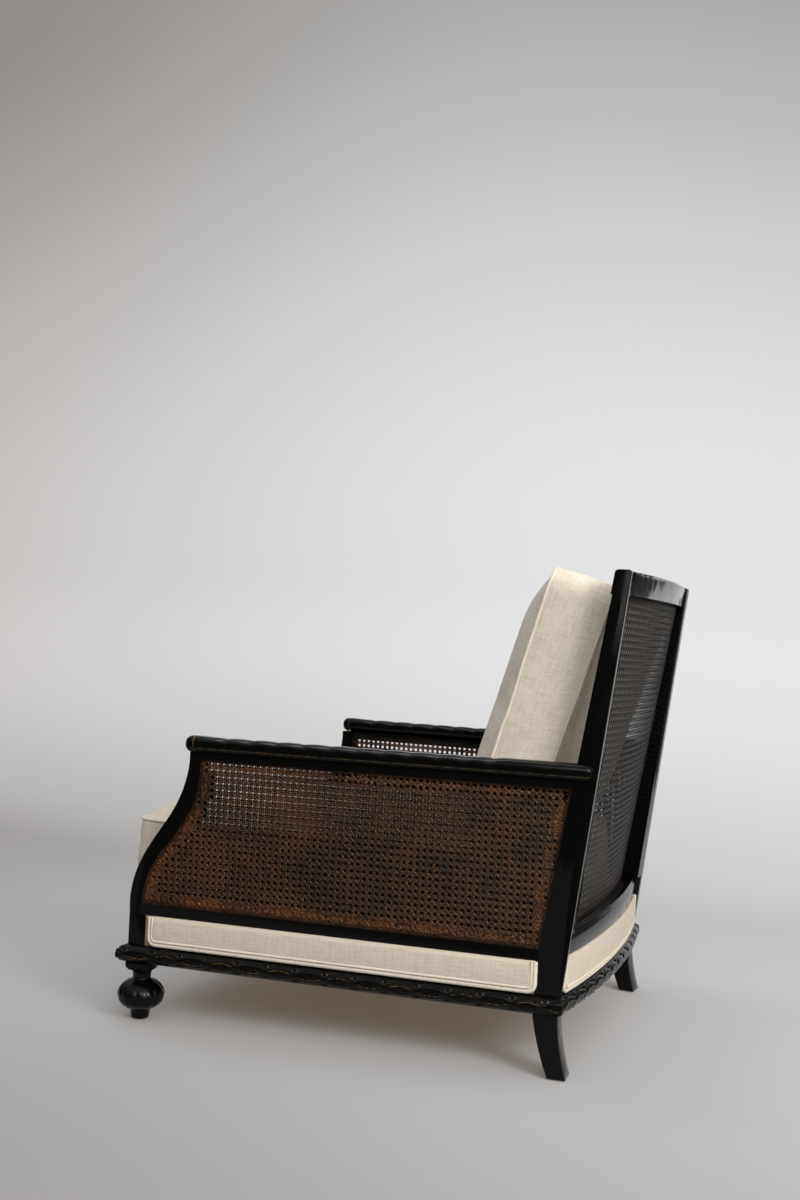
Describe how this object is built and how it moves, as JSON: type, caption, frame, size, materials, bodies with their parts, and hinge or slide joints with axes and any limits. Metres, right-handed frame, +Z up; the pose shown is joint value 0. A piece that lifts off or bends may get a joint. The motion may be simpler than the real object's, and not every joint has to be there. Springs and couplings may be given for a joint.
{
  "type": "caned lounge chair",
  "caption": "Low, deep lounge chair: rigid ebonised frame with caned sides and back, rounded arms, ball front feet, sabre back legs, loose boxed seat and back cushions.",
  "frame": {"origin": "middle of the bottom of the chair's bounding box, on the floor", "axes": "+Z up, -Y the way the sitter faces, +X the sitter's left"},
  "size_m": [0.815, 0.9322, 0.8662],
  "materials": {
    "ebonised_wood": "black lacquer, high gloss",
    "seat_frame_wood": "sawn hardwood, unfinished",
    "cane_brown": "stained woven cane, satin",
    "cane_dark": "blackened woven cane, satin",
    "linen": "slubby plain-weave linen",
    "deck_cotton": "plain cotton",
    "dust_cloth": "black lining cloth",
    "spring_steel": "zinc plated",
    "glide_nylon": "nylon"
  },
  "bodies": {
    "frame": {"arm_left": "ebonised_wood", "arm_right": "ebonised_wood", "back_cane": "cane_dark", "back_cane_splines": "cane_dark", "base_moulding_front": "ebonised_wood", "base_moulding_left": "ebonised_wood", "base_moulding_rear": "ebonised_wood", "base_moulding_right": "ebonised_wood", "corner_blocks": "seat_frame_wood", "crest_rail": "ebonised_wood", "deck_cloth": "deck_cotton", "deck_pad": "deck_cotton", "dowels": "seat_frame_wood", "dust_cover": "dust_cloth", "foot_glides": "glide_nylon", "front_foot_left": "ebonised_wood", "front_foot_right": "ebonised_wood", "front_panel": "linen", "front_panel_welt": "linen", "front_seat_rail": "seat_frame_wood", "front_stile_left": "ebonised_wood", "front_stile_right": "ebonised_wood", "lower_back_rail": "ebonised_wood", "rear_panel": "linen", "rear_panel_welt": "linen", "rear_post_left": "ebonised_wood", "rear_post_right": "ebonised_wood", "rear_seat_rail": "seat_frame_wood", "screws": "spring_steel", "seat_springs": "spring_steel", "side_cane_inner_left": "cane_brown", "side_cane_inner_right": "cane_brown", "side_cane_outer_left": "cane_brown", "side_cane_outer_right": "cane_brown", "side_cane_splines_left": "cane_brown", "side_cane_splines_right": "cane_brown", "side_mid_rail_left": "ebonised_wood", "side_mid_rail_right": "ebonised_wood", "side_panel_left": "linen", "side_panel_right": "linen", "side_panel_welt_left": "linen", "side_panel_welt_right": "linen", "side_seat_rail_left": "seat_frame_wood", "side_seat_rail_right": "seat_frame_wood", "side_top_rail_left": "ebonised_wood", "side_top_rail_right": "ebonised_wood", "spring_clips": "spring_steel"},
    "seat_cushion": {"seat_cushion": "linen", "seat_cushion_piping": "linen"},
    "back_cushion": {"back_cushion": "linen", "back_cushion_piping": "linen"}
  },
  "joints": [
    {"name": "seat_cushion_slide", "type": "slide", "parent": "frame", "child": "seat_cushion", "axis": [0, -1, 0], "range_m": [0, 0.12]},
    {"name": "back_cushion_lift", "type": "slide", "parent": "frame", "child": "back_cushion", "axis": [0, 0, 1], "range_m": [0, 0.15]}
  ]
}
